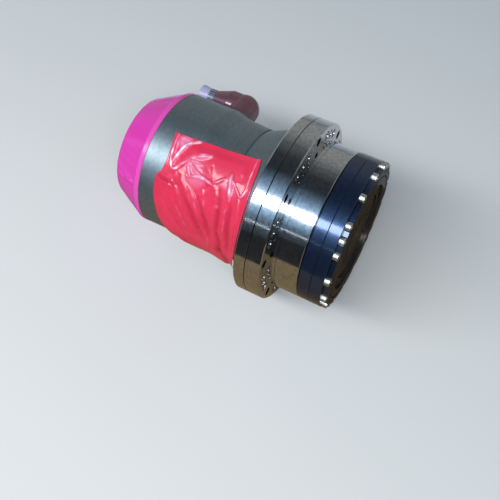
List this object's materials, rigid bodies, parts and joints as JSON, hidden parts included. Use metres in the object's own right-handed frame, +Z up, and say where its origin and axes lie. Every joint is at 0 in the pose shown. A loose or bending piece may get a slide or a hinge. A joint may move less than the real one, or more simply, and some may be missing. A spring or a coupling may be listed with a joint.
{
  "type": "strain wave gear servo unit",
  "caption": "Round strain wave gear head with a bolted mounting flange, a rotating dark output face and its flanged servo motor, with transport film and pouch still on.",
  "frame": {"origin": "centre of the mounting flange's front face, on the output axis", "axes": "+X out of the output face along the main axis, +Z up with the unit lying on its side"},
  "size_m": [0.2498, 0.2071, 0.19],
  "materials": {
    "housing_grey": "satin, fine turned lines",
    "flange_steel": "ground and polished",
    "black_oxide": "oiled black oxide, turned",
    "bolt_steel": "bright",
    "bearing_steel": "ground",
    "gear_steel": "machined",
    "spring_steel": "blued",
    "cast_aluminium": "machined casting",
    "lamination": "stacked sheet",
    "copper": "enamelled wire",
    "magnet": "nickel plated",
    "circuit_board": "solder mask",
    "encoder_glass": "coded disc",
    "rubber": "nitrile",
    "cage_plastic": "moulded nylon",
    "wire_insulation": "sleeved leads",
    "connector_metal": "dark satin",
    "insert_plastic": "moulded",
    "cap_plastic": "soft translucent",
    "film_pink": "thin protective film",
    "film_red": "thin glossy film"
  },
  "bodies": {
    "housing": {"motor_housing": "housing_grey", "circular_spline": "flange_steel", "housing_o_ring": "rubber", "bearing_outer_ring": "flange_steel", "roller_filling_plug": "flange_steel", "output_seal": "rubber", "flange_clamp_bolts": "bolt_steel", "motor_screws": "bolt_steel", "front_shield": "cast_aluminium", "shaft_seal": "rubber", "front_bearing_outer_ring": "bearing_steel", "rear_bearing_outer_ring": "bearing_steel", "bearing_spring": "spring_steel", "stator_core": "lamination", "stator_windings": "copper", "lead_wires": "wire_insulation", "rear_shield": "cast_aluminium", "rear_shield_screws": "bolt_steel", "encoder_posts": "bolt_steel", "encoder_board": "circuit_board", "encoder_cover": "cast_aluminium", "encoder_cover_screws": "bolt_steel", "protective_cap": "film_pink", "accessory_pouch": "film_red", "connector_base": "connector_metal", "connector_screws": "bolt_steel"},
    "output": {"bearing_inner_ring": "bearing_steel", "output_ring": "black_oxide", "inner_ring_bolts": "bolt_steel", "output_plate": "black_oxide", "output_bolts": "bolt_steel", "center_cap": "bolt_steel", "flexspline": "gear_steel", "flexspline_clamp_ring": "gear_steel", "flexspline_bolts": "bolt_steel"},
    "rollers": {"crossed_rollers": "bearing_steel", "roller_spacers": "cage_plastic"},
    "rotor": {"motor_shaft": "gear_steel", "rotor_core": "lamination", "rotor_magnets": "magnet", "shaft_key": "gear_steel", "wave_hub": "gear_steel", "wave_hub_screws": "bolt_steel", "wave_plug": "gear_steel", "shaft_end_screw": "bolt_steel", "flex_bearing_inner_race": "bearing_steel", "flex_bearing_balls": "bearing_steel", "flex_bearing_cage": "cage_plastic", "flex_bearing_outer_race": "bearing_steel", "encoder_disc": "encoder_glass", "front_bearing_inner_ring": "bearing_steel", "rear_bearing_inner_ring": "bearing_steel"},
    "front_balls": {"front_bearing_balls": "bearing_steel"},
    "rear_balls": {"rear_bearing_balls": "bearing_steel"},
    "connector": {"connector_elbow": "connector_metal", "connector_insert": "insert_plastic", "connector_nut": "connector_metal", "connector_cap": "cap_plastic"}
  },
  "joints": [
    {"name": "output_turn", "type": "hinge", "parent": "housing", "child": "output", "pos_m": [0, 0, 0], "axis": [1, 0, 0], "continuous": true},
    {"name": "roller_turn", "type": "hinge", "parent": "housing", "child": "rollers", "pos_m": [0, 0, 0], "axis": [1, 0, 0], "continuous": true},
    {"name": "rotor_turn", "type": "hinge", "parent": "housing", "child": "rotor", "pos_m": [0, 0, 0], "axis": [1, 0, 0], "continuous": true, "deforming": ["flexspline"]},
    {"name": "front_ball_turn", "type": "hinge", "parent": "housing", "child": "front_balls", "pos_m": [0, 0, 0], "axis": [1, 0, 0], "continuous": true},
    {"name": "rear_ball_turn", "type": "hinge", "parent": "housing", "child": "rear_balls", "pos_m": [0, 0, 0], "axis": [1, 0, 0], "continuous": true},
    {"name": "connector_swivel", "type": "hinge", "parent": "housing", "child": "connector", "pos_m": [-0.1195, 0.07886, 0.00482], "axis": [0, 0.9981, 0.061], "range_deg": [-160, 160]}
  ],
  "couplings": [
    {"joint": "roller_turn", "follows": "output_turn", "ratio": 0.4792},
    {"joint": "rotor_turn", "follows": "output_turn", "ratio": -50},
    {"joint": "front_ball_turn", "follows": "output_turn", "ratio": -19.837},
    {"joint": "rear_ball_turn", "follows": "output_turn", "ratio": -19.104}
  ]
}
